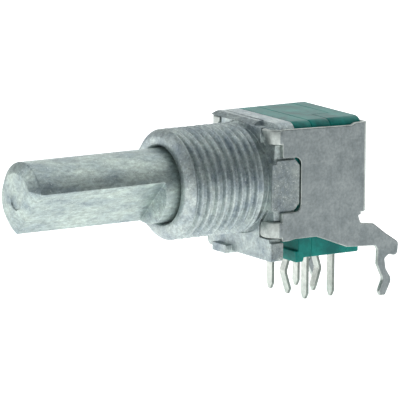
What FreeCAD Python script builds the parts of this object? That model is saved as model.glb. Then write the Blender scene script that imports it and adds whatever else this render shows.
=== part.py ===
import FreeCAD, Part
import math
import os
from FreeCAD import Vector

# Rotary encoder with push switch, millimetres.  The origin is where the shaft axis meets the mounting
# face.  The shaft points along -Y, the pins along -Z, and X runs across the body.

# Driving dimensions
SHAFT_R = 3.0                # 6 mm shaft
FLAT_TO_AXIS = 1.5           # D-flat: 4.5 mm from the flat to the far side
FLAT_ANGLE = -45.0           # direction the flat faces at rest, degrees from +X towards +Z
SHAFT_TIP_Y = -21.1
SHAFT_CHAMFER = 0.85         # how far the tip chamfer comes in, over TIP_LENGTH of the shaft
TIP_LENGTH = 0.6
COLLAR_Y = -8.8              # where the shaft is full round again behind the flat
WALL_LEAN = 0.2              # the step up from the flat leans back by this much
THREAD_R = 4.47              # M9 x 0.75 crest radius
THREAD_PITCH = 0.75
THREAD_DEPTH = 0.44
BUSHING_Y = -7.75            # bushing end face
NECK_R = 4.1                 # undercut between the thread and the mounting face
NECK_Y = -0.65
BUSHING_CHAMFER = 0.6
RELIEF_R = 4.52              # shallow relief round the neck, wider than the thread
RUNNING_GAP = 0.04           # radial clearance of everything that turns or slides
PUSH_TRAVEL = 0.5
BODY_HALF = 4.75             # half width over the bracket
CASE_HALF = 4.3              # half width of the resin cases
SHEET = 0.4                  # bracket sheet thickness
HOOK_BEND = 1.0              # outer bend radius of the bracket's hooks
UPPER_HOOK = (3.2, 4.38)     # height range of the upper hooks, and of the lower ones
LOWER_HOOK = (-4.42, -3.08)
TOP_Z = 4.8
NEAR_ROUND = 0.9             # rounding of the top edge on the +X side, and on the -X side
FAR_ROUND = 0.45
CASE_BOTTOM_Z = -6.25
BOARD_Z = -6.6               # stand-off feet, which rest on the board
PLATE_BACK_Y = 2.4           # front plate to encoder case
BLOCK_BACK_Y = 2.6           # side blocks of the front plate, which key into the bracket
BLOCK_TOP_Z = 1.95
BLOCK_BOTTOM_Z = -2.15
FIRST_SEAM_Y = 4.1           # encoder case to terminal case
SECOND_SEAM_Y = 7.5          # terminal case to rear cover
CASE_BACK_Y = 8.82
PIN_PITCH = 2.5
PIN_WIDTH = 0.8
PIN_SHEET = 0.25
PIN_TIP_Z = -10.05
FRONT_ROW_Y = 4.72
REAR_ROW_Y = 7.225
DETENTS = 20

# Rotor stack, from the front plate backwards
BORE_R = SHAFT_R + RUNNING_GAP
POCKET_R = 3.95              # hollow in the back of the front plate
POCKET_Y = 1.2
WASHER_T = 0.2
SPRING_T = 0.15
RING_T = 0.35
GROOVE_R = 2.55
GROOVE_Y = POCKET_Y + WASHER_T + 0.03
SHOULDER_Y = GROOVE_Y + RING_T + 0.18
ROTOR_Y = 2.5
ROTOR_R = 3.74
ROTOR_BACK_Y = 3.7
DISC_T = 0.15
DISC_BACK_Y = ROTOR_BACK_Y + DISC_T
INNER_TRACK_R = 3.05
OUTER_TRACK_R = 3.45
WIPER_PAD_Z = -4.2
WIPER_T = 0.1
DRIVE_R = 2.2                # inner end of the shaft, with two flats
DRIVE_FLAT = 1.6
DRIVE_END_Y = 4.6
DOME_R = 1.85
DOME_APEX_Y = 6.5
CONTACT_Y = REAR_ROW_Y - PIN_SHEET / 2   # plane of the switch contacts

AXIS = Vector(0, 1, 0)
PINS_X = (-PIN_PITCH, 0.0, PIN_PITCH)
LEG_Y = 10.65                # middle of the bracket's board legs


# ---- shapes that several pieces share ----

def box(x0, x1, y0, y1, z0, z1):
    return Part.makeBox(x1 - x0, y1 - y0, z1 - z0, Vector(x0, y0, z0))


def cyl(radius, y0, y1):
    return Part.makeCylinder(radius, y1 - y0, Vector(0, y0, 0), AXIS)


def cone(r0, r1, y0, y1):
    return Part.makeCone(r0, r1, y1 - y0, Vector(0, y0, 0), AXIS)


def ring(r_in, r_out, y0, y1):
    return cyl(r_out, y0, y1).cut(cyl(r_in, y0 - 1, y1 + 1))


def outline(points):
    """Closed wire through 3-D points (point, corner radius), with an arc at each rounded corner."""
    starts, edges = [], []
    count = len(points)
    for i, (corner, radius) in enumerate(points):
        before = (points[i - 1][0] - corner).normalize()
        after = (points[(i + 1) % count][0] - corner).normalize()
        if not radius:
            starts.append((corner, None, corner))
            continue
        half = before.getAngle(after) / 2
        reach = radius / math.tan(half)
        middle = (before + after).normalize()
        centre = corner + middle * (radius / math.sin(half))
        starts.append((corner + before * reach, centre - middle * radius, corner + after * reach))
    for i, (first, through, last) in enumerate(starts):
        if through is not None:
            edges.append(Part.Arc(first, through, last).toShape())
        following = starts[(i + 1) % count][0]
        if (following - last).Length > 1e-6:
            edges.append(Part.LineSegment(last, following).toShape())
    return Part.Wire(edges)


def slab_x(points, x0, x1):
    """Plate square to X: the outline is (y, z) or (y, z, corner radius)."""
    wire = outline([(Vector(x0, p[0], p[1]), p[2] if len(p) > 2 else 0) for p in points])
    return Part.Face(wire).extrude(Vector(x1 - x0, 0, 0))


def slab_y(points, y0, y1):
    """Plate square to Y: the outline is (x, z) or (x, z, corner radius)."""
    wire = outline([(Vector(p[0], y0, p[1]), p[2] if len(p) > 2 else 0) for p in points])
    return Part.Face(wire).extrude(Vector(0, y1 - y0, 0))


def slab_z(points, z0, z1):
    """Upright prism: the outline is (x, y) or (x, y, corner radius)."""
    wire = outline([(Vector(p[0], p[1], z0), p[2] if len(p) > 2 else 0) for p in points])
    return Part.Face(wire).extrude(Vector(0, 0, z1 - z0))


def mirrored(shape):
    return shape.mirror(Vector(0, 0, 0), Vector(1, 0, 0))


def both_sides(shape):
    return shape.fuse(mirrored(shape))


def case_block(y0, y1):
    """One section of the resin body: square below, rounded along its two top edges."""
    return slab_y([(-CASE_HALF, CASE_BOTTOM_Z), (CASE_HALF, CASE_BOTTOM_Z),
                   (CASE_HALF, TOP_Z, NEAR_ROUND), (-CASE_HALF, TOP_Z, FAR_ROUND)], y0, y1)


def spring_plate(grow, back_y):
    """Square body of the detent spring, or with grow the seat for it in the front plate."""
    half, corner = 4.05 + grow, 0.6
    return slab_y([(-half, -half, corner), (half, -half, corner), (half, half, corner),
                   (-half, half, corner)], PLATE_BACK_Y - SPRING_T, back_y)


# ---- die-cast bushing and front plate ----

def thread_grooves():
    """One V groove for each turn of the thread, cut from the plain bushing."""
    turns = int((NECK_Y - BUSHING_Y - BUSHING_CHAMFER) / THREAD_PITCH)
    flank = THREAD_PITCH * 0.44
    grooves = []
    for turn in range(turns):
        y = NECK_Y - (turn + 0.5) * THREAD_PITCH
        root = THREAD_R - THREAD_DEPTH
        profile = Part.makePolygon([Vector(THREAD_R + 0.1, y - flank - 0.08, 0), Vector(root, y, 0),
                                    Vector(THREAD_R + 0.1, y + flank + 0.08, 0),
                                    Vector(THREAD_R + 0.1, y - flank - 0.08, 0)])
        grooves.append(Part.Face(profile).revolve(Vector(0, 0, 0), AXIS, 360))
    return grooves


def bracket_seats():
    """Recesses in the front plate that the bracket's hooked tabs and side plates lie in."""
    side = CASE_HALF + 0.05
    gap = 0.06
    upper = box(2.85, BODY_HALF + 1, -1, SHEET, BLOCK_TOP_Z - 0.25, UPPER_HOOK[1] + gap)
    lower = box(2.85, BODY_HALF + 1, -1, SHEET, LOWER_HOOK[0] - gap, BLOCK_BOTTOM_Z)
    # behind each hook the plate's corner is rounded to the inside of the bend
    bend_room = [(2.85, -1), (2.85, SHEET), (side, SHEET, HOOK_BEND - SHEET), (side, HOOK_BEND + 0.1),
                 (BODY_HALF + 1, HOOK_BEND + 0.1), (BODY_HALF + 1, -1)]
    rooms = [slab_z(bend_room, hook[0] - gap, hook[1] + gap) for hook in (UPPER_HOOK, LOWER_HOOK)]
    flank_bottom = box(side, BODY_HALF + 1, -1, PLATE_BACK_Y + 1, -4.74, BLOCK_BOTTOM_Z)
    keep_round = cyl(NECK_R + 0.15, -1, SHEET)
    return both_sides(upper.fuse([lower] + rooms).cut(keep_round).fuse(flank_bottom))


def top_details():
    """What is taken off the front plate's top: its front edge, the notch over one hook, a fine groove."""
    edge_z, edge_y = 4.49, 0.45
    notch_x, notch_y = 1.9, 0.85
    edge = slab_x([(-0.01, edge_z), (edge_y, TOP_Z + 0.01), (-0.01, TOP_Z + 0.01)], -6, 6)
    notch = box(notch_x, BODY_HALF, -1, notch_y, 4.44, TOP_Z + 1)
    groove = box(-3.6, notch_x, notch_y + 0.02, notch_y + 0.12, TOP_Z - 0.1, TOP_Z + 1)
    return [edge, notch, groove]


def block_trim():
    """What is taken off the side blocks: their rear corners, and a slight draft along the front."""
    cuts = []
    bevel_y, bevel_z, over = 0.43, 0.5, 1.2
    for edge, inward in ((BLOCK_TOP_Z, -1), (BLOCK_BOTTOM_Z, 1)):
        outer_z = edge - inward * bevel_z * (over - 1)
        rear_y = BLOCK_BACK_Y + bevel_y * (over - 1)
        cuts.append(slab_x([(BLOCK_BACK_Y - bevel_y * over, outer_z), (rear_y, outer_z),
                            (rear_y, edge + inward * bevel_z * over)], CASE_HALF + 0.05, 6))
    cuts.append(slab_z([(BODY_HALF, 0.6), (BODY_HALF - 0.06, 0), (BODY_HALF - 0.06, -1),
                        (BODY_HALF + 1, -1), (BODY_HALF + 1, 0.6)], BLOCK_BOTTOM_Z, BLOCK_TOP_Z))
    return [side for cut in cuts for side in (cut, mirrored(cut))]


def housing():
    # above the side blocks the plate is narrower, so that the bracket's sides lie flush against it
    side = CASE_HALF + 0.05
    plate = slab_y([(-BODY_HALF, -6.27, 0.5), (BODY_HALF, -6.27, 0.3), (BODY_HALF, BLOCK_TOP_Z),
                    (side, BLOCK_TOP_Z), (side, TOP_Z, NEAR_ROUND), (-side, TOP_Z, FAR_ROUND),
                    (-side, BLOCK_TOP_Z), (-BODY_HALF, BLOCK_TOP_Z)], 0, BLOCK_BACK_Y)
    # behind the feet the plate is shorter, so that the encoder case reaches under it
    under = box(-6, 6, 1.1, 4, -8, -4.6)
    back = box(-side, side, PLATE_BACK_Y, 4, -8, 8)
    solid = plate.cut(under).cut(back).cut(top_details()).cut(bracket_seats()).cut(block_trim())
    solid = solid.cut(cyl(RELIEF_R, -1, 0.06))
    tube = cyl(THREAD_R, BUSHING_Y + BUSHING_CHAMFER, NECK_Y)
    nose = cone(THREAD_R - 0.57, THREAD_R, BUSHING_Y, BUSHING_Y + BUSHING_CHAMFER)
    neck = cyl(NECK_R, NECK_Y, 0.5)
    lug = slab_y([(-3.1, -6.45, 0.1), (-1.1, -6.45, 0.1), (-1.1, -5.75, 0.1), (-3.1, -5.75, 0.1)], -0.6, 0.6)
    solid = solid.fuse([tube, nose, neck, lug]).removeSplitter()
    for groove in thread_grooves():
        solid = solid.cut(groove)
    solid = solid.cut(cyl(BORE_R, BUSHING_Y - 1, POCKET_Y + 1))
    solid = solid.cut(cone(3.27, BORE_R, BUSHING_Y, BUSHING_Y + 0.45))
    return solid.cut([cyl(POCKET_R, POCKET_Y, PLATE_BACK_Y + 1), spring_plate(0.03, PLATE_BACK_Y + 1)])


# ---- shaft and what is fixed on it ----

def flat_cutter():
    """Everything beyond the D-flat, with its share of the tip chamfer, up to the step to full round."""
    reach = 4.0
    tip_h = FLAT_TO_AXIS - SHAFT_CHAMFER
    rise = WALL_LEAN / (SHAFT_R - FLAT_TO_AXIS)
    cutter = slab_z([(tip_h, SHAFT_TIP_Y), (FLAT_TO_AXIS, SHAFT_TIP_Y + TIP_LENGTH),
                     (FLAT_TO_AXIS, COLLAR_Y - WALL_LEAN), (reach, COLLAR_Y + rise * (reach - SHAFT_R)),
                     (reach, SHAFT_TIP_Y - 1), (tip_h, SHAFT_TIP_Y - 1)], -reach, reach)
    return cutter.rotate(Vector(0, 0, 0), AXIS, -FLAT_ANGLE)


def drive_end(grow):
    """Inner end of the shaft, or with grow the hole for it: round with two flats."""
    flat = DRIVE_FLAT + grow
    return cyl(DRIVE_R + grow, SHOULDER_Y - 0.2, DRIVE_END_Y).common(box(-5, 5, 0, 6, -flat, flat))


def shaft():
    body = cyl(SHAFT_R, SHAFT_TIP_Y + TIP_LENGTH, SHOULDER_Y)
    tip = cone(SHAFT_R - SHAFT_CHAMFER, SHAFT_R, SHAFT_TIP_Y, SHAFT_TIP_Y + TIP_LENGTH)
    solid = body.fuse([tip]).removeSplitter().cut(flat_cutter())
    solid = solid.cut(ring(GROOVE_R, SHAFT_R + 1, GROOVE_Y, GROOVE_Y + RING_T + 0.03))
    # flat-bottomed mark that the ejector pin leaves in the end face
    mark = cone(0.8, 0.72, SHAFT_TIP_Y, SHAFT_TIP_Y + 0.12)
    return solid.cut(mark).fuse(drive_end(0.0))


def retaining_ring():
    """Spring-steel C-ring, open towards +Z, with its gap narrower than the groove."""
    solid = ring(GROOVE_R + 0.01, 3.4, GROOVE_Y + 0.01, GROOVE_Y + 0.01 + RING_T)
    return solid.cut(box(-1.4, 1.4, 0, 4, 0, 5))


def thrust_washer():
    return ring(BORE_R + 0.02, POCKET_R - 0.1, POCKET_Y, POCKET_Y + WASHER_T)


# ---- rotor ----

def rotor():
    solid = cyl(ROTOR_R, ROTOR_Y, ROTOR_BACK_Y).fuse(cyl(2.9, ROTOR_BACK_Y, ROTOR_BACK_Y + DISC_T))
    notch_depth, notch_half = 0.22, 0.24
    notches = []
    for i in range(DETENTS):
        notch = slab_x([(ROTOR_Y - 0.05, -notch_half), (ROTOR_Y + notch_depth, 0, 0.12),
                        (ROTOR_Y - 0.05, notch_half)], 3.3, ROTOR_R + 1)
        notch.rotate(Vector(0, 0, 0), AXIS, i * 360.0 / DETENTS)
        notches.append(notch)
    hole = cyl(DRIVE_R + RUNNING_GAP, ROTOR_Y - 1, ROTOR_BACK_Y + 1)
    flat = DRIVE_FLAT + RUNNING_GAP
    return solid.cut(notches).cut(hole.common(box(-5, 5, 0, 6, -flat, flat)))


def code_disc():
    """Stamped contact disc: a closed inner track and an outer track of teeth."""
    solid = ring(2.9, 3.68, ROTOR_BACK_Y, ROTOR_BACK_Y + DISC_T)
    windows = []
    for i in range(DETENTS):
        window = box(3.2, 4.0, ROTOR_BACK_Y - 1, ROTOR_BACK_Y + 1, -0.26, 0.26)
        window.rotate(Vector(0, 0, 0), AXIS, (i + 0.5) * 360.0 / DETENTS)
        windows.append(window)
    return solid.cut(windows)


def detent_spring():
    """Flat spring clamped at its corners, with two noses that press into the rotor's notches."""
    y0 = PLATE_BACK_Y - SPRING_T
    solid = spring_plate(0.0, PLATE_BACK_Y).cut(cyl(3.45, 0, 4))
    tip = ROTOR_Y - 0.02
    nose = slab_x([(y0, -0.5), (PLATE_BACK_Y, -0.5), (tip, 0, 0.15), (PLATE_BACK_Y, 0.5), (y0, 0.5)],
                  3.5, 3.72)
    return solid.fuse([nose, mirrored(nose)])


# ---- pins and contacts ----

def pin(x, y, top_z, kink=0.0):
    """Flat pin with a pointed tip. A kinked one bows along Y and springs against its board hole."""
    half = PIN_SHEET / 2
    knee, foot = -8.2, -9.6
    shoulder = PIN_TIP_Z + 0.45
    if kink:
        side = [(y - half, top_z), (y - half, -6.7), (y - half + kink, knee, 0.6),
                (y - half, foot), (y - half, PIN_TIP_Z), (y + half, PIN_TIP_Z), (y + half, foot),
                (y + half + kink, knee, 0.6), (y + half, -6.7), (y + half, top_z)]
    else:
        side = [(y - half, top_z), (y - half, PIN_TIP_Z), (y + half, PIN_TIP_Z), (y + half, top_z)]
    w = PIN_WIDTH / 2
    strip = slab_x(side, x - w, x + w)
    tip = slab_y([(x - w, top_z + 1), (x - w, shoulder), (x - 0.12, PIN_TIP_Z, 0.1),
                  (x + 0.12, PIN_TIP_Z, 0.1), (x + w, shoulder), (x + w, top_z + 1)], y - 2, y + 2)
    return strip.common(tip)


def encoder_terminal(x, kink=0.0):
    """Front-row pin, bent forward inside the case to the wiper it feeds."""
    top = WIPER_PAD_Z - 0.15
    back = FRONT_ROW_Y + PIN_SHEET / 2
    stem = pin(x, FRONT_ROW_Y, top, kink)
    arm = box(x - 0.3, x + 0.3, FIRST_SEAM_Y + WIPER_T, back, top - PIN_SHEET, top)
    return stem.fuse(arm).removeSplitter()


def wiper(x):
    """Phosphor-bronze leaf: a pad flush in the case and an arm that rises to the code disc.

    The middle one runs on the disc's closed inner track, the outer two on its toothed track."""
    side = x * 0.92
    track_r = INNER_TRACK_R if x == 0 else OUTER_TRACK_R
    nose_z = -math.sqrt(track_r ** 2 - side ** 2)
    face, reach = FIRST_SEAM_Y, DISC_BACK_Y + 0.02
    strip = [(face, WIPER_PAD_Z - 0.7), (face, WIPER_PAD_Z), (reach, nose_z), (reach + 0.1, nose_z + 0.25),
             (reach + 0.18, nose_z + 0.2), (reach + WIPER_T, nose_z), (face + WIPER_T, WIPER_PAD_Z),
             (face + WIPER_T, WIPER_PAD_Z - 0.7)]
    return slab_x(strip, side - 0.22, side + 0.22)


def switch_terminal_d():
    """Rear-row pin that ends in the open ring under the dome's rim."""
    y0, y1 = CONTACT_Y, CONTACT_Y + PIN_SHEET
    track = ring(1.35, 2.0, y0, y1).cut(box(0, 3, 0, 9, -0.7, 0.7))
    bridge = box(-PIN_PITCH - 0.4, -1.7, y0, y1, -0.35, 0.35)
    return pin(-PIN_PITCH, REAR_ROW_Y, 0.35).fuse([track, bridge]).removeSplitter()


def switch_terminal_e():
    """Rear-row pin that ends in the pad under the dome's centre."""
    y0, y1 = CONTACT_Y, CONTACT_Y + PIN_SHEET
    pad = cyl(0.75, y0, y1)
    bridge = box(0, PIN_PITCH + 0.4, y0, y1, -0.35, 0.35)
    return pin(PIN_PITCH, REAR_ROW_Y, 0.35).fuse([pad, bridge]).removeSplitter()


def switch_dome():
    """Snap dome: a shallow spherical cap that stands on the ring contact."""
    thickness = 0.1
    rise = CONTACT_Y - DOME_APEX_Y
    radius = (DOME_R ** 2 + rise ** 2) / (2 * rise)
    centre = Vector(0, DOME_APEX_Y + radius, 0)
    shell = Part.makeSphere(radius, centre).cut(Part.makeSphere(radius - thickness, centre))
    return shell.common(cyl(DOME_R, DOME_APEX_Y - 1, CONTACT_Y))


def plunger():
    """Resin pin between the shaft's end and the dome."""
    head = cyl(DRIVE_R - 0.05, DRIVE_END_Y + 0.03, DRIVE_END_Y + 0.55)
    stem = cyl(1.2, DRIVE_END_Y + 0.5, DOME_APEX_Y - 0.02)
    return head.fuse(stem).removeSplitter()


# ---- resin cases ----

def encoder_case():
    # the lower front is set back, and the foot of each stand-off makes a ledge in front of it
    ledge_y, ledge_z, lower_front_y = 2.62, -5.7, 2.88
    set_back = box(-CASE_HALF - 1, CASE_HALF + 1, 1, lower_front_y, -8, -4.65)
    stand_off = slab_x([(ledge_y, ledge_z), (ledge_y, BOARD_Z, 0.08), (3.32, BOARD_Z, 0.15), (3.5, -5.9),
                        (3.5, ledge_z)], 1.9, CASE_HALF)
    solid = case_block(PLATE_BACK_Y, FIRST_SEAM_Y).cut(set_back).fuse([stand_off, mirrored(stand_off)])
    wiper_room = box(-2.75, 2.75, ROTOR_BACK_Y + 0.1, FIRST_SEAM_Y, WIPER_PAD_Z - 0.1, -2.0)
    return solid.removeSplitter().cut([cyl(ROTOR_R + RUNNING_GAP, 0, 6), wiper_room])


def cover_step():
    """Block of the rear cover that steps forward over the terminal case at one top corner."""
    return slab_y([(1.5, 2.6), (CASE_HALF, 2.6), (CASE_HALF, TOP_Z, NEAR_ROUND), (1.5, TOP_Z)],
                  5.9, SECOND_SEAM_Y + 0.1)


def terminal_case(metal_inside):
    solid = case_block(FIRST_SEAM_Y, SECOND_SEAM_Y).cut(cover_step())
    web_y = DRIVE_END_Y + 0.55 + PUSH_TRAVEL + 0.05
    solid = solid.cut(cyl(DRIVE_R + RUNNING_GAP, 3, web_y)).cut(cyl(1.2 + RUNNING_GAP, 3, 8))
    solid = solid.cut(cyl(2.05, DOME_APEX_Y - 0.15, SECOND_SEAM_Y + 1))
    return solid.cut(metal_inside)


def rear_cover(metal_inside):
    slab = case_block(SECOND_SEAM_Y, CASE_BACK_Y)
    boss = cyl(2.05, CONTACT_Y + PIN_SHEET, SECOND_SEAM_Y + 0.1)
    solid = slab.fuse([boss, cover_step()]).removeSplitter()
    # bevelled upright corners clear the inside of the bracket's bends
    size = 0.25
    bevel = slab_z([(CASE_HALF - size, CASE_BACK_Y + 0.01), (CASE_HALF + 0.01, CASE_BACK_Y - size),
                    (CASE_HALF + 1, CASE_BACK_Y + 1)], -8, 8)
    return solid.cut(metal_inside + [bevel, mirrored(bevel)])


# ---- plated steel bracket ----

def snap_leg_sides(flipped):
    """Kinked leg that springs into its board hole: its rear side downwards, its front side upwards."""
    rear = [(11.0, -7.0, 0.2), (11.15, -7.9, 0.4), (11.72, -8.75, 0.6), (11.1, -10.03, 0.15)]
    front = [(10.6, -10.03, 0.15), (10.42, -9.67), (10.85, -8.65, 0.5), (10.27, -7.45, 0.4)]
    if not flipped:
        return rear + front

    def across(points):
        return [(2 * LEG_Y - p[0], *p[1:]) for p in reversed(points)]
    return across(front) + across(rear)


def side_plate(flipped=False):
    """Side of the bracket: notched for the plate's side block, with the board ear at its rear foot."""
    belly = [(7.27, -5.69, 0.3), (4.33, -4.57, 0.3), (2.2, -4.57), (1.7, -4.68, 0.2), (1.0, -4.68, 0.1)]
    notch = [(1.0, -2.35), (2.75, -2.35, 0.6), (2.75, 2.08, 0.6), (1.0, 2.08)]
    top = [(1.0, 4.42), (7.6, 4.24), (8.0, 4.42), (8.9, 4.42, 0.2)]
    ear = [(8.85, -2.85), (8.38, -3.22, 0.12), (8.6, -3.85), (9.85, -3.98, 0.4), (10.96, -4.83),
           (12.35, -5.75, 0.4), (12.23, -6.9, 0.35), (11.4, -6.7, 0.2)]
    heel = [(10.31, -6.2, 0.3), (10.05, -5.86, 0.3)]
    outline_points = belly + notch + top + ear + snap_leg_sides(flipped) + heel
    return slab_x(outline_points, CASE_HALF + 0.05, BODY_HALF)


def front_hook(heights, reach_x, end_shape):
    """Tab bent round the front corner on to the plate, its free end trimmed to a shape square to Y."""
    side = CASE_HALF + 0.05
    strip = slab_z([(BODY_HALF, HOOK_BEND + 0.2), (BODY_HALF, 0, HOOK_BEND), (reach_x, 0),
                    (reach_x, SHEET), (side, SHEET, HOOK_BEND - SHEET), (side, HOOK_BEND + 0.2)], *heights)
    return strip.common(slab_y(end_shape, -1, 3))


def frame_bracket():
    inner_y, outer_y = CASE_BACK_Y + 0.03, CASE_BACK_Y + 0.03 + SHEET
    above_ear = box(0, 6, 8.6, 10, -3.0, 6)
    low, high = UPPER_HOOK
    upper_hook = front_hook(UPPER_HOOK, 3.05, [(3.95, low, 0.1), (6, low), (6, high), (3.05, high),
                                               (3.05, high - 0.25)])
    low, high = LOWER_HOOK
    lower_hook = front_hook(LOWER_HOOK, 2.95, [(2.95, low, 0.35), (6, low), (6, high),
                                               (2.95, high, 0.55)])
    hooks = upper_hook.fuse(lower_hook)
    near = side_plate().cut(above_ear).fuse(hooks)
    far = mirrored(side_plate(flipped=True).cut(above_ear).fuse(hooks))
    bend = 0.55
    back = slab_y([(-BODY_HALF, -2.95), (BODY_HALF, -2.95), (BODY_HALF, 4.42), (-BODY_HALF, 4.42)],
                  8.55, outer_y)
    long_edges = [edge for edge in back.Edges
                  if abs(edge.BoundBox.XMin) > BODY_HALF - 0.01 and edge.BoundBox.YMin > outer_y - 0.01
                  and edge.BoundBox.ZLength > 5]
    back = back.makeFillet(bend, long_edges)
    inner = CASE_HALF + 0.05
    hollow = slab_y([(-inner, -4), (inner, -4), (inner, 6), (-inner, 6)], 8.0, inner_y)
    hollow = hollow.makeFillet(0.15, [edge for edge in hollow.Edges
                                      if edge.BoundBox.YMin > inner_y - 0.01
                                      and edge.BoundBox.ZLength > 5])
    return near.fuse([far, back.cut(hollow)]).removeSplitter()


def main():
    os.makedirs("parts", exist_ok=True)
    terminals = {
        "terminal_a": encoder_terminal(PINS_X[0]),
        "terminal_c": encoder_terminal(PINS_X[1], kink=-0.45),
        "terminal_b": encoder_terminal(PINS_X[2]),
        "switch_terminal_d": switch_terminal_d(),
        "snap_leg": pin(0.0, REAR_ROW_Y, -4.4, kink=0.45),
        "switch_terminal_e": switch_terminal_e(),
    }
    wipers = {
        "wiper_a": wiper(PINS_X[0]),
        "wiper_common": wiper(PINS_X[1]),
        "wiper_b": wiper(PINS_X[2]),
    }
    metal_inside = list(terminals.values()) + list(wipers.values())
    nodes = {
        "housing": housing(),
        "shaft": shaft(),
        "retaining_ring": retaining_ring(),
        "thrust_washer": thrust_washer(),
        "detent_spring": detent_spring(),
        "rotor": rotor(),
        "code_disc": code_disc(),
        "encoder_case": encoder_case(),
        "terminal_case": terminal_case(metal_inside),
        "rear_cover": rear_cover(metal_inside),
        "plunger": plunger(),
        "switch_dome": switch_dome(),
        "frame_bracket": frame_bracket(),
        **terminals,
        **wipers,
    }
    for name, shape in nodes.items():
        print(name, "solids", len(shape.Solids), "valid", shape.isValid(), "volume", round(shape.Volume, 3))
        Part.Compound(shape.Solids).exportStep(f"parts/{name}.step")


main()
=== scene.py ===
import bmesh
import bpy
import math
from mathutils import Euler, Matrix, Vector


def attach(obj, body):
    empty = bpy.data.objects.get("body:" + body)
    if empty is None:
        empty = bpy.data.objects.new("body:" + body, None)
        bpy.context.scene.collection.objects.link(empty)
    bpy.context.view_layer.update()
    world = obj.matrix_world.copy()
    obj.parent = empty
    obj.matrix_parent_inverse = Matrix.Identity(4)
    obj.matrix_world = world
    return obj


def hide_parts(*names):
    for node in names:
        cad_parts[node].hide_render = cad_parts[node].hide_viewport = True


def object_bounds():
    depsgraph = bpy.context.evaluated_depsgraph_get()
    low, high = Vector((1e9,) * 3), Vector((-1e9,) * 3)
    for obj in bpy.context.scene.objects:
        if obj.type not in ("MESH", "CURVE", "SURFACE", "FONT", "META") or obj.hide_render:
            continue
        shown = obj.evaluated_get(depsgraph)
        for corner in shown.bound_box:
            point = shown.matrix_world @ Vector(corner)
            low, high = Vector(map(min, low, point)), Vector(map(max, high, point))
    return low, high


# A small rotary encoder with a push switch, dressed piece by piece around its CAD frame.
# The shaft points along -Y, the solder pins point down, and one Blender unit is a metre.
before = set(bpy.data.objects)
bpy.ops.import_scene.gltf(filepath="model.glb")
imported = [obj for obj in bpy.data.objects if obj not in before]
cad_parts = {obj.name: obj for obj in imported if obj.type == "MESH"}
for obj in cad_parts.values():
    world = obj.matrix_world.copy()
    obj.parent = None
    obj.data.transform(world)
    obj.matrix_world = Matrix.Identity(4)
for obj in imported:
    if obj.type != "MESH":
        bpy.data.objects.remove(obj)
cad_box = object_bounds()
MM = 0.001
scene = bpy.context.scene


# ---- Camera ----
# A long lens half a metre away, a little above the shaft and off its end, so that the shaft tip
# comes towards the viewer on the left and the pins hang down on the right.
camera_azimuth, camera_elevation, camera_roll = 56.958, 10.518, 0.5386
camera_distance = 500 * MM
camera_aim = Vector((-1.584, -2.790, -1.922)) * MM

camera_data = bpy.data.cameras.new("camera")
camera_data.lens = 559.3
camera_data.sensor_width = 36.0
camera = bpy.data.objects.new("camera", camera_data)
scene.collection.objects.link(camera)
facing = Euler((math.radians(90 - camera_elevation), 0, math.radians(camera_azimuth))).to_matrix()
facing = facing @ Matrix.Rotation(math.radians(camera_roll), 3, "Z")
camera.matrix_world = facing.to_4x4()
camera.location = camera_aim + facing.col[2] * camera_distance
scene.camera = camera


# ---- Studio ----
# A plain white table that the pin tips touch, and soft light from large panels behind, above, in
# front and to the left. The table glows, less towards the right, and lights the metal from below.
def tint(code):
    """Linear colour of an sRGB hex code."""
    parts = [int(code[i:i + 2], 16) / 255 for i in (1, 3, 5)]
    return tuple(v / 12.92 if v <= 0.04045 else ((v + 0.055) / 1.055) ** 2.4 for v in parts) + (1.0,)


def add(tree, kind, inputs=None, **settings):
    """Adds a node. An input is given a constant or the socket that feeds it."""
    node = tree.nodes.new(kind)
    for key, value in settings.items():
        setattr(node, key, value)
    for key, value in (inputs or {}).items():
        if isinstance(value, bpy.types.NodeSocket):
            tree.links.new(value, node.inputs[key])
        else:
            node.inputs[key].default_value = value
    return node


def new_material(name):
    """An empty node material and its tree."""
    material = bpy.data.materials.new(name)
    material.use_nodes = True
    material.node_tree.nodes.clear()
    return material, material.node_tree


table_size, table_top = 3.0, cad_box[0][2]
table_mesh = bpy.data.meshes.new("table")
table_mesh.from_pydata([(x * table_size, y * table_size, table_top) for x, y in
                        ((-1, -1), (1, -1), (1, 1), (-1, 1))], [], [(0, 1, 2, 3)])
table = bpy.data.objects.new("table", table_mesh)
scene.collection.objects.link(table)
table_paint, tree = new_material("white_table")
place = add(tree, "ShaderNodeTexCoord").outputs["Object"]
away = add(tree, "ShaderNodeVectorMath", {0: place, 1: (0.84, 0.54, 0)}, operation="DOT_PRODUCT")
glow = add(tree, "ShaderNodeMapRange", {"Value": away.outputs["Value"], "From Min": 0.02,
                                        "From Max": 0.16, "To Min": 0.95, "To Max": 0.45},
           interpolation_type="SMOOTHSTEP")
paint = add(tree, "ShaderNodeBsdfPrincipled", {
    "Base Color": tint("#F4F4F4"), "Roughness": 0.9, "Specular IOR Level": 0.1,
    "Emission Color": tint("#FFFFFF"), "Emission Strength": glow.outputs["Result"]})
add(tree, "ShaderNodeOutputMaterial", {"Surface": paint.outputs["BSDF"]})
table_mesh.materials.append(table_paint)

world = bpy.data.worlds.new("studio")
world.use_nodes = True
world.node_tree.nodes.clear()
backdrop = add(world.node_tree, "ShaderNodeBackground", {"Color": tint("#DCE6EC"), "Strength": 0.27})
add(world.node_tree, "ShaderNodeOutputWorld", {"Surface": backdrop.outputs["Background"]})
scene.world = world

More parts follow.
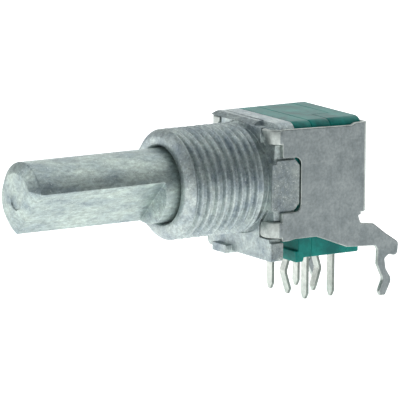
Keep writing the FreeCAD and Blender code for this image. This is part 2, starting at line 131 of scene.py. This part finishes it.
# each softbox: where it stands, its width and height, and how bright its face is
for name, place, width, height, glare in (
        ("softbox_behind_left", (-0.55, 0.40, 0.22), 0.75, 0.42, 1.15),
        ("softbox_behind", (-0.04, 0.38, 0.52), 0.80, 0.42, 1.12),
        ("softbox_above", (-0.10, -0.02, 0.60), 0.45, 0.40, 0.50),
        ("softbox_front", (-0.28, -0.50, 0.42), 0.45, 0.40, 1.5),
        ("white_card_left", (-0.50, -0.34, 0.10), 0.60, 0.24, 0.85)):
    light_data = bpy.data.lights.new(name, "AREA")
    light_data.shape = "RECTANGLE"
    light_data.size, light_data.size_y = width, height
    light_data.energy = glare * math.pi * width * height
    light = bpy.data.objects.new(name, light_data)
    light.location = place
    light.rotation_euler = Vector(place).to_track_quat("Z", "Y").to_euler()
    light.visible_camera = False
    scene.collection.objects.link(light)
scene.view_settings.view_transform = "Standard"


# ---- Bushing and front plate ----
# One zinc die casting: the threaded bushing that clamps to the panel, its square front plate with
# the locating lug, and the two side blocks that key into the bracket. The skin is matt and grainy.
def zinc(name, light, dark, stretch, roughness):
    """Die-cast zinc: a grey-green skin with blue-grey patches, a sandy grain, fine painted glints and
    painted shade on its outermost sides.
    """
    material, tree = new_material(name)
    place = add(tree, "ShaderNodeTexCoord").outputs["Object"]
    along = add(tree, "ShaderNodeMapping", {"Vector": place, "Scale": stretch}).outputs["Vector"]
    patches = add(tree, "ShaderNodeTexNoise", {"Vector": along, "Scale": 620.0, "Detail": 6.0,
                                               "Roughness": 0.68})
    sand = add(tree, "ShaderNodeTexNoise", {"Vector": along, "Scale": 3600.0, "Detail": 4.0,
                                            "Roughness": 0.8})
    painted_glint_noise = add(tree, "ShaderNodeTexNoise", {"Vector": place, "Scale": 9000.0, "Detail": 1.0})
    share = add(tree, "ShaderNodeMapRange", {"Value": patches.outputs["Fac"], "From Min": 0.36,
                                             "From Max": 0.66})
    skin = add(tree, "ShaderNodeMix", {"Factor": share.outputs["Result"], "A": tint(light),
                                       "B": tint(dark)}, data_type="RGBA")
    speck = add(tree, "ShaderNodeMapRange", {"Value": sand.outputs["Fac"], "From Min": 0.32,
                                             "From Max": 0.68, "To Min": 0.62, "To Max": 1.22})
    # the outermost side faces, from 4.5 mm out along X, are painted darker: painted shade
    across = add(tree, "ShaderNodeSeparateXYZ", {"Vector": place}).outputs["X"]
    outward = add(tree, "ShaderNodeMath", {0: across}, operation="ABSOLUTE")
    painted_side_shade = add(tree, "ShaderNodeMapRange", {"Value": outward.outputs["Value"], "From Min": 4.5 * MM,
                                             "From Max": 4.7 * MM, "To Min": 1.0, "To Max": 0.62})
    shade = add(tree, "ShaderNodeMath", {0: speck.outputs["Result"], 1: painted_side_shade.outputs["Result"]},
                operation="MULTIPLY")
    grainy_skin_with_painted_shade = add(tree, "ShaderNodeVectorMath", {0: skin.outputs["Result"]}, operation="SCALE")
    tree.links.new(shade.outputs["Value"], grainy_skin_with_painted_shade.inputs["Scale"])
    # fine near-white points mixed into the colour are painted glints
    bright = add(tree, "ShaderNodeMapRange", {"Value": painted_glint_noise.outputs["Fac"], "From Min": 0.66,
                                              "From Max": 0.76, "To Max": 0.6})
    colour = add(tree, "ShaderNodeMix", {"Factor": bright.outputs["Result"], "A": grainy_skin_with_painted_shade.outputs["Vector"],
                                         "B": tint("#F4F8F6")}, data_type="RGBA")
    dull = add(tree, "ShaderNodeMapRange", {"Value": sand.outputs["Fac"], "To Min": roughness - 0.08,
                                            "To Max": roughness + 0.1})
    bumps = add(tree, "ShaderNodeBump", {"Height": sand.outputs["Fac"], "Distance": 0.03 * MM,
                                         "Strength": 1.0})
    waves = add(tree, "ShaderNodeBump", {"Height": patches.outputs["Fac"], "Distance": 0.06 * MM,
                                         "Strength": 0.8, "Normal": bumps.outputs["Normal"]})
    metal = add(tree, "ShaderNodeBsdfPrincipled", {
        "Base Color": colour.outputs["Result"], "Metallic": 1.0, "Roughness": dull.outputs["Result"],
        "Normal": waves.outputs["Normal"]})
    add(tree, "ShaderNodeOutputMaterial", {"Surface": metal.outputs["BSDF"]})
    return material


def link_piece(name, mesh, material):
    """A new object at the origin with one material."""
    piece = bpy.data.objects.new(name, mesh)
    scene.collection.objects.link(piece)
    piece.data.materials.clear()
    piece.data.materials.append(material)
    return piece


def cad_copy(node, name, material):
    """A merged copy of a CAD node, with its flat faces made whole again."""
    shape = bmesh.new()
    shape.from_mesh(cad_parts[node].data)
    bmesh.ops.remove_doubles(shape, verts=shape.verts, dist=0.0001 * MM)
    bmesh.ops.dissolve_limit(shape, angle_limit=math.radians(0.5), verts=shape.verts, edges=shape.edges)
    mesh = bpy.data.meshes.new(name)
    shape.to_mesh(mesh)
    shape.free()
    return link_piece(name, mesh, material)


def turned(name, profile, material, steps=120, closed=True):
    """A solid of revolution about the shaft axis from (y, radius) in mm; radius 0 closes on the axis.

    It starts half a facet round, so that the shaft's flats meet a facet and not its edge."""
    shape = bmesh.new()
    rings = []
    for y, radius in profile:
        if radius == 0:
            rings.append([shape.verts.new((0, y * MM, 0))])
            continue
        turns = [2 * math.pi * (i + 0.5) / steps for i in range(steps)]
        rings.append([shape.verts.new((radius * math.cos(t) * MM, y * MM, radius * math.sin(t) * MM))
                      for t in turns])
    pairs = list(zip(rings, rings[1:]))
    if closed:
        pairs.append((rings[-1], rings[0]))
    for first, second in pairs:
        for i in range(steps):
            j = (i + 1) % steps
            corners = [first[i % len(first)], first[j % len(first)], second[j % len(second)],
                       second[i % len(second)]]
            unique = list(dict.fromkeys(corners))
            if len(unique) > 2:
                shape.faces.new(unique)
    bmesh.ops.recalc_face_normals(shape, faces=shape.faces)
    mesh = bpy.data.meshes.new(name)
    shape.to_mesh(mesh)
    shape.free()
    return link_piece(name, mesh, material)


def bake_modifiers(piece):
    """Replaces the piece's mesh with the result of its modifiers."""
    bpy.context.view_layer.update()
    evaluated = piece.evaluated_get(bpy.context.evaluated_depsgraph_get())
    mesh = bpy.data.meshes.new_from_object(evaluated)
    piece.modifiers.clear()
    piece.data = mesh


def carve(piece, *cutters):
    """Cuts other solids out of a piece and removes them."""
    for cutter in cutters:
        cut = piece.modifiers.new("cut", "BOOLEAN")
        cut.operation = "DIFFERENCE"
        cut.solver = "EXACT"
        cut.object = cutter
    bake_modifiers(piece)
    for cutter in cutters:
        bpy.data.objects.remove(cutter)


def break_edges(piece, width, segments=2, sharp=30, needle=40):
    """Rounds every sharp edge by the same small width, in mm, and keeps the flat faces flat.

    Edges that run together into a needle point are left as they are."""
    shape = bmesh.new()
    shape.from_mesh(piece.data)
    weight = shape.edges.layers.float.new("bevel_weight_edge")
    hard = {edge for edge in shape.edges
            if edge.is_manifold and edge.calc_face_angle() > math.radians(sharp)}
    for edge in hard:
        edge[weight] = 1.0
    for vertex in shape.verts:
        meeting = [edge for edge in vertex.link_edges if edge in hard]
        ways = [edge.other_vert(vertex).co - vertex.co for edge in meeting]
        for i, way in enumerate(ways):
            if any(way.angle(other) < math.radians(needle) for other in ways[:i] + ways[i + 1:]):
                meeting[i][weight] = 0.0
    for face in shape.faces:
        face.smooth = True
    shape.to_mesh(piece.data)
    shape.free()
    bevel = piece.modifiers.new("edges", "BEVEL")
    bevel.width = width * MM
    bevel.segments = segments
    bevel.limit_method = "WEIGHT"
    bevel.use_clamp_overlap = False
    weigh = piece.modifiers.new("shading", "WEIGHTED_NORMAL")
    weigh.mode = "FACE_AREA"
    weigh.weight = 100
    weigh.thresh = 0.01
    piece.modifiers.new("triangles", "TRIANGULATE").keep_custom_normals = True
    bake_modifiers(piece)


def helical_thread():
    """Geometry Nodes tree that winds a thread into the plain outer skin of a turned sleeve."""
    tree = bpy.data.node_groups.new("helical_thread", "GeometryNodeTree")
    face = tree.interface
    face.new_socket("Geometry", in_out="INPUT", socket_type="NodeSocketGeometry")
    for label in ("Pitch", "Depth", "Crest Radius", "First", "Last", "Run-out"):
        face.new_socket(label, in_out="INPUT", socket_type="NodeSocketFloat")
    face.new_socket("Material", in_out="INPUT", socket_type="NodeSocketMaterial")
    face.new_socket("Geometry", in_out="OUTPUT", socket_type="NodeSocketGeometry")
    given = add(tree, "NodeGroupInput").outputs

    def calc(operation, *values):
        node = add(tree, "ShaderNodeMath", dict(enumerate(values)), operation=operation)
        return node.outputs["Value"]

    here = add(tree, "GeometryNodeInputPosition").outputs["Position"]
    parts = add(tree, "ShaderNodeSeparateXYZ", {"Vector": here}).outputs
    radius = calc("SQRT", calc("ADD", calc("MULTIPLY", parts["X"], parts["X"]),
                               calc("MULTIPLY", parts["Z"], parts["Z"])))
    angle = calc("DIVIDE", calc("ARCTAN2", parts["Z"], parts["X"]), 2 * math.pi)
    turn = calc("FRACT", calc("ADD", calc("DIVIDE", parts["Y"], given["Pitch"]), angle))
    # 0 at the crest and 1 at the root, with a narrow flat on the crest and a wider one at the root
    wave = calc("ABSOLUTE", calc("SUBTRACT", calc("MULTIPLY", turn, 2.0), 1.0))
    groove = add(tree, "ShaderNodeMapRange", {"Value": wave, "From Min": 0.08, "From Max": 0.74},
                 interpolation_type="SMOOTHSTEP").outputs["Result"]
    start = add(tree, "ShaderNodeMapRange", {"Value": calc("SUBTRACT", parts["Y"], given["First"]),
                                             "From Max": given["Run-out"]}).outputs["Result"]
    end = add(tree, "ShaderNodeMapRange", {"Value": calc("SUBTRACT", given["Last"], parts["Y"]),
                                           "From Max": given["Run-out"]}).outputs["Result"]
    depth = calc("MULTIPLY", calc("MULTIPLY", given["Depth"], groove), calc("MULTIPLY", start, end))
    outer = calc("GREATER_THAN", radius, calc("SUBTRACT", given["Crest Radius"], 0.02 * MM))
    scale = calc("DIVIDE", calc("MULTIPLY", depth, -1.0), radius)
    inward = add(tree, "ShaderNodeVectorMath", {0: here, 1: (1, 0, 1)}, operation="MULTIPLY")
    shift = add(tree, "ShaderNodeVectorMath", {0: inward.outputs["Vector"], "Scale": scale},
                operation="SCALE").outputs["Vector"]
    moved = add(tree, "GeometryNodeSetPosition", {"Geometry": given["Geometry"], "Selection": outer,
                                                  "Offset": shift})
    plain = add(tree, "GeometryNodeRealizeInstances", {"Geometry": moved.outputs["Geometry"]})
    dressed = add(tree, "GeometryNodeSetMaterial", {"Geometry": plain.outputs["Geometry"],
                                                    "Material": given["Material"]})
    add(tree, "NodeGroupOutput", {"Geometry": dressed.outputs["Geometry"]})
    return tree


casting = zinc("die_cast_zinc", "#CAD4D0", "#94A1A8", (1, 1, 1), 0.48)
bushing_end, neck_start, crest_r, neck_r, bore_r = -7.75, -0.65, 4.47, 4.1, 3.04
chamfer_back = bushing_end + 0.62
# rows of points this far apart along the sleeve carry the thread, which is a helix and shallower
# than the 0.44 mm ring grooves that stand for it in the CAD
thread_row, thread_pitch, thread_depth, run_out = 0.03, 0.75, 0.36, 0.35
rows = int((neck_start - chamfer_back) / thread_row)
sleeve_profile = [(0.6, bore_r + 0.05), (0.05, bore_r), (bushing_end + 0.45, bore_r),
                  (bushing_end + 0.04, 3.25), (bushing_end, 3.30), (bushing_end, 3.84),
                  (bushing_end + 0.03, 3.92), (chamfer_back - 0.1, crest_r - 0.06)]
sleeve_profile += [(chamfer_back + (neck_start - chamfer_back) * i / rows, crest_r)
                   for i in range(rows + 1)]
sleeve_profile += [(neck_start + 0.12, neck_r + 0.03), (neck_start + 0.2, neck_r), (0.02, neck_r),
                   (0.6, neck_r - 0.05)]
sleeve = turned("sleeve", sleeve_profile, casting, steps=180)
thread = sleeve.modifiers.new("thread", "NODES")
thread.node_group = helical_thread()
thread_sizes = {"Pitch": thread_pitch * MM, "Depth": thread_depth * MM,
                "Crest Radius": crest_r * MM, "First": (chamfer_back + 0.05) * MM,
                "Last": neck_start * MM, "Run-out": run_out * MM, "Material": casting}
for socket in thread.node_group.interface.items_tree:
    if socket.name in thread_sizes:
        thread[socket.identifier] = thread_sizes[socket.name]
bake_modifiers(sleeve)
for face in sleeve.data.polygons:
    face.use_smooth = True

# the CAD's own bushing is cut away from the plate to make room for the sleeve
room_front, room_r = -12, 4.6
plate = cad_copy("housing", "bushing_and_front_plate", casting)
carve(plate, turned("bushing_room", [(room_front, 0), (room_front, room_r), (0, room_r), (0, 0)],
                    casting, closed=False))
break_edges(plate, 0.06, segments=3)
joined = bmesh.new()
joined.from_mesh(plate.data)
joined.from_mesh(sleeve.data)
joined.to_mesh(plate.data)
joined.free()
bpy.data.objects.remove(sleeve)
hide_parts("housing")
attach(plate, "body")


# ---- Shaft ----
# A 6 mm zinc die-cast shaft with a chamfered tip, a round mark left by the ejector pin, and a flat
# that a knob's D-bore locks on. Lengthwise streaks come from the way the metal filled the mould.
shaft_skin = zinc("die_cast_zinc_shaft", "#C4D1C9", "#9AA8AB", (1, 0.45, 1), 0.44)
tip_y, tip_back, tip_r, shaft_r, flat_depth = -21.1, -20.5, 2.15, 3.0, 1.5
wall_foot, wall_rim = -9.0, -8.8
flat_turn = 45
mark_depth, mark_floor_r, mark_r = 0.12, 0.72, 0.8
groove_y, groove_width, groove_r = 1.43, 0.38, 2.55
shoulder_y, drive_end, drive_r, drive_flat = 1.96, 4.6, 2.2, 1.6
shaft_profile = [(tip_y + mark_depth, 0), (tip_y + mark_depth, mark_floor_r), (tip_y, mark_r),
                 (tip_y, tip_r), (tip_back, shaft_r), (groove_y, shaft_r), (groove_y, groove_r),
                 (groove_y + groove_width, groove_r), (groove_y + groove_width, shaft_r),
                 (shoulder_y, shaft_r), (shoulder_y, drive_r), (drive_end, drive_r), (drive_end, 0)]
shaft = turned("d_shaft", shaft_profile, shaft_skin, closed=False)


def prism(name, corners, turn, half_height=4):
    """A cutting prism from (x, y) corners in mm, turned by degrees about the shaft axis."""
    shape = bmesh.new()
    ends = [[shape.verts.new((x * MM, y * MM, z * MM)) for x, y in corners]
            for z in (-half_height, half_height)]
    shape.faces.new(ends[0])
    shape.faces.new(ends[1])
    for i in range(len(corners)):
        j = (i + 1) % len(corners)
        shape.faces.new((ends[0][i], ends[0][j], ends[1][j], ends[1][i]))
    bmesh.ops.recalc_face_normals(shape, faces=shape.faces)
    bmesh.ops.rotate(shape, verts=shape.verts, matrix=Matrix.Rotation(math.radians(turn), 3, "Y"))
    mesh = bpy.data.meshes.new(name)
    shape.to_mesh(mesh)
    shape.free()
    return link_piece(name, mesh, shaft_skin)


# the cutter takes its share of the tip chamfer and leaves a wall that leans back to the full round
clear_r, clear_front, clear_end = 4, tip_y - 1, 5
chamfer = shaft_r - tip_r
rise = (wall_rim - wall_foot) / (shaft_r - flat_depth)
flat_cut = prism("flat_cut", [(flat_depth - chamfer, tip_y), (flat_depth, tip_back),
                              (flat_depth, wall_foot),
                              (clear_r, wall_rim + rise * (clear_r - shaft_r)), (clear_r, clear_front),
                              (flat_depth - chamfer, clear_front)], flat_turn)
drive_cuts = [prism("drive_cut", [(drive_flat, shoulder_y), (drive_flat, clear_end),
                                  (clear_r, clear_end), (clear_r, shoulder_y)], turn)
              for turn in (90, -90)]
carve(shaft, flat_cut, *drive_cuts)
break_edges(shaft, 0.04, segments=3)
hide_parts("shaft")
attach(shaft, "shaft")


# ---- Bracket ----
# Nickel-plated steel sheet, 0.4 mm thick, stamped and folded round the resin cases. Hooked tabs
# hold it to the front plate and two kinked legs snap into the board. Its cut edges, bends and forward
# faces carry a painted highlight.
def plated_sheet(name, low, high):
    """Satin nickel plate over rolled steel: fine mottling, and a few long scratches from handling."""
    material, tree = new_material(name)
    place = add(tree, "ShaderNodeTexCoord").outputs["Object"]
    cloudy = add(tree, "ShaderNodeTexNoise", {"Vector": place, "Scale": 650.0, "Detail": 5.0,
                                              "Roughness": 0.7})
    pores = add(tree, "ShaderNodeTexNoise", {"Vector": place, "Scale": 4200.0, "Detail": 4.0,
                                             "Roughness": 0.6})
    tilted = add(tree, "ShaderNodeMapping", {"Vector": place, "Rotation": (0.85, 0, 0),
                                             "Scale": (1, 0.03, 1)}).outputs["Vector"]
    streaks = add(tree, "ShaderNodeTexNoise", {"Vector": tilted, "Scale": 4200.0, "Detail": 2.0})
    scratch = add(tree, "ShaderNodeMapRange", {"Value": streaks.outputs["Fac"], "From Min": 0.69,
                                               "From Max": 0.8, "To Max": 0.5})
    share = add(tree, "ShaderNodeMapRange", {"Value": cloudy.outputs["Fac"], "From Min": 0.35,
                                             "From Max": 0.65})
    skin = add(tree, "ShaderNodeMix", {"Factor": share.outputs["Result"], "A": tint(low),
                                       "B": tint(high)}, data_type="RGBA")
    speck = add(tree, "ShaderNodeMapRange", {"Value": pores.outputs["Fac"], "From Min": 0.3,
                                             "From Max": 0.7, "To Min": 0.78, "To Max": 1.16})
    colour = add(tree, "ShaderNodeVectorMath", {0: skin.outputs["Result"]}, operation="SCALE")
    tree.links.new(speck.outputs["Result"], colour.inputs["Scale"])
    worn = add(tree, "ShaderNodeMix", {"Factor": scratch.outputs["Result"], "A": colour.outputs["Vector"],
                                       "B": tint("#B9BEBC")}, data_type="RGBA")
    dull = add(tree, "ShaderNodeMapRange", {"Value": pores.outputs["Fac"], "From Min": 0.3,
                                            "From Max": 0.7, "To Min": 0.38, "To Max": 0.5})
    bumps = add(tree, "ShaderNodeBump", {"Height": pores.outputs["Fac"], "Distance": 0.005 * MM,
                                         "Strength": 0.8})
    metal = add(tree, "ShaderNodeBsdfPrincipled", {
        "Base Color": worn.outputs["Result"], "Metallic": 1.0, "Roughness": dull.outputs["Result"],
        "Normal": bumps.outputs["Normal"]})
    add(tree, "ShaderNodeOutputMaterial", {"Surface": metal.outputs["BSDF"]})
    return material


bracket = cad_copy("frame_bracket", "folded_bracket",
                   plated_sheet("nickel_plated_steel", "#7F8788", "#989F9F"))
break_edges(bracket, 0.1, segments=3)
# the cut edges, the bends and the faces turned forward, up or down take a lighter copy of the plate: a
# painted highlight
bracket.data.materials.append(plated_sheet("nickel_edge_painted_highlight", "#A9B0AC", "#CDD3CE"))
square_on = 0.96
for face in bracket.data.polygons:
    broad = abs(face.normal.x) > square_on or face.normal.y > square_on
    face.material_index = int(not broad)
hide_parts("frame_bracket")
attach(bracket, "body")


# ---- Resin cases ----
# Three mouldings in glass-filled PBT resin, coloured teal, stacked behind the front plate. Their
# edges are lightly rounded by the mould, so that the seams between them show as fine dark lines.
def teal_resin():
    """Moulded PBT: a satin skin with a faint haze where the glass fibres lie near the surface."""
    material, tree = new_material("moulded_pbt_resin")
    place = add(tree, "ShaderNodeTexCoord").outputs["Object"]
    haze = add(tree, "ShaderNodeTexNoise", {"Vector": place, "Scale": 560.0, "Detail": 5.0,
                                            "Roughness": 0.7})
    spread = add(tree, "ShaderNodeMapRange", {"Value": haze.outputs["Fac"], "From Min": 0.36,
                                              "From Max": 0.66})
    fibres = add(tree, "ShaderNodeTexNoise", {"Vector": place, "Scale": 9000.0, "Detail": 2.0})
    skin = add(tree, "ShaderNodeMix", {"Factor": spread.outputs["Result"], "A": tint("#006863"),
                                       "B": tint("#0E9488")}, data_type="RGBA")
    bumps = add(tree, "ShaderNodeBump", {"Height": fibres.outputs["Fac"], "Distance": 0.004 * MM,
                                         "Strength": 0.8})
    resin = add(tree, "ShaderNodeBsdfPrincipled", {
        "Base Color": skin.outputs["Result"], "Roughness": 0.42, "IOR": 1.53,
        "Specular IOR Level": 0.22, "Normal": bumps.outputs["Normal"]})
    add(tree, "ShaderNodeOutputMaterial", {"Surface": resin.outputs["BSDF"]})
    return material


resin = teal_resin()
for node, name in (("encoder_case", "encoder_case_moulding"), ("terminal_case", "terminal_case_moulding"),
                   ("rear_cover", "rear_cover_moulding")):
    case = cad_copy(node, name, resin)
    break_edges(case, 0.07)
    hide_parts(node)
    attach(case, "body")


# ---- Solder pins ----
# Six flat pins stamped from 0.25 mm brass strip and tin-plated. The middle pin of each row is
# kinked to grip its board hole. Coining leaves their tips blunt and their edges soft.
def plated_pin(name, low, high, roughness):
    """Bright tin plate, uneven where it flowed; darker and rougher, it also serves for the pins' faces
    turned along X, where the darker colour is painted shade and the roughness is the sheared finish.
    """
    material, tree = new_material(name)
    place = add(tree, "ShaderNodeTexCoord").outputs["Object"]
    flow = add(tree, "ShaderNodeTexNoise", {"Vector": place, "Scale": 2400.0, "Detail": 4.0})
    skin = add(tree, "ShaderNodeMix", {"Factor": flow.outputs["Fac"], "A": tint(low),
                                       "B": tint(high)}, data_type="RGBA")
    bumps = add(tree, "ShaderNodeBump", {"Height": flow.outputs["Fac"], "Distance": 0.03 * MM,
                                         "Strength": 0.9})
    metal = add(tree, "ShaderNodeBsdfPrincipled", {
        "Base Color": skin.outputs["Result"], "Metallic": 1.0, "Roughness": roughness,
        "Normal": bumps.outputs["Normal"]})
    add(tree, "ShaderNodeOutputMaterial", {"Surface": metal.outputs["BSDF"]})
    return material


tin_plate = plated_pin("tin_plated_brass", "#9AA09A", "#E6E9E2", 0.28)
sheared_side_with_painted_shade = plated_pin("sheared_brass_side_painted_shade", "#6E7570", "#9BA19B", 0.42)
sideways = 0.6
for node in ("terminal_a", "terminal_c", "terminal_b", "switch_terminal_d", "snap_leg",
             "switch_terminal_e"):
    strip = cad_copy(node, node + "_strip", tin_plate)
    break_edges(strip, 0.035)
    strip.data.materials.append(sheared_side_with_painted_shade)
    # faces turned along X take the darker, rougher copy: the darkness is painted shade, the roughness is
    # the sheared finish
    for face in strip.data.polygons:
        face.material_index = int(abs(face.normal.x) > sideways)
    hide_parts(node)
    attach(strip, "body")


# ---- Parts inside ----
# The rotor, its code disc, the wipers, springs and switch parts are closed in by the cases. Their
# CAD shapes stay, and each takes the finish of its own stock.
def plain_stock(name, low, high, metallic, roughness, grain):
    """A rolled, moulded or plated stock finish with a faint grain, its size in mm."""
    material, tree = new_material(name)
    place = add(tree, "ShaderNodeTexCoord").outputs["Object"]
    noise = add(tree, "ShaderNodeTexNoise", {"Vector": place, "Scale": 1 / (grain * MM), "Detail": 3.0})
    skin = add(tree, "ShaderNodeMix", {"Factor": noise.outputs["Fac"], "A": tint(low), "B": tint(high)},
               data_type="RGBA")
    bumps = add(tree, "ShaderNodeBump", {"Height": noise.outputs["Fac"], "Distance": 0.003 * MM,
                                         "Strength": 0.5})
    stock = add(tree, "ShaderNodeBsdfPrincipled", {
        "Base Color": skin.outputs["Result"], "Metallic": metallic, "Roughness": roughness,
        "Normal": bumps.outputs["Normal"]})
    add(tree, "ShaderNodeOutputMaterial", {"Surface": stock.outputs["BSDF"]})
    return material


spring_steel = plain_stock("rolled_spring_steel", "#8C8C88", "#B0B0AA", 1.0, 0.32, 0.15)
bronze = plain_stock("phosphor_bronze", "#B0824A", "#D0A468", 1.0, 0.28, 0.15)
inside = {
    "retaining_ring": spring_steel, "thrust_washer": spring_steel, "detent_spring": spring_steel,
    "switch_dome": spring_steel, "code_disc": bronze, "wiper_a": bronze, "wiper_common": bronze,
    "wiper_b": bronze,
    "rotor": plain_stock("natural_acetal", "#DAD7CB", "#ECEAE0", 0.0, 0.4, 0.4),
    "plunger": plain_stock("black_acetal", "#16171A", "#24262A", 0.0, 0.45, 0.4),
}
for node, material in inside.items():
    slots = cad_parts[node].data.materials
    slots.clear()
    slots.append(material)

bpy.context.view_layer.update()
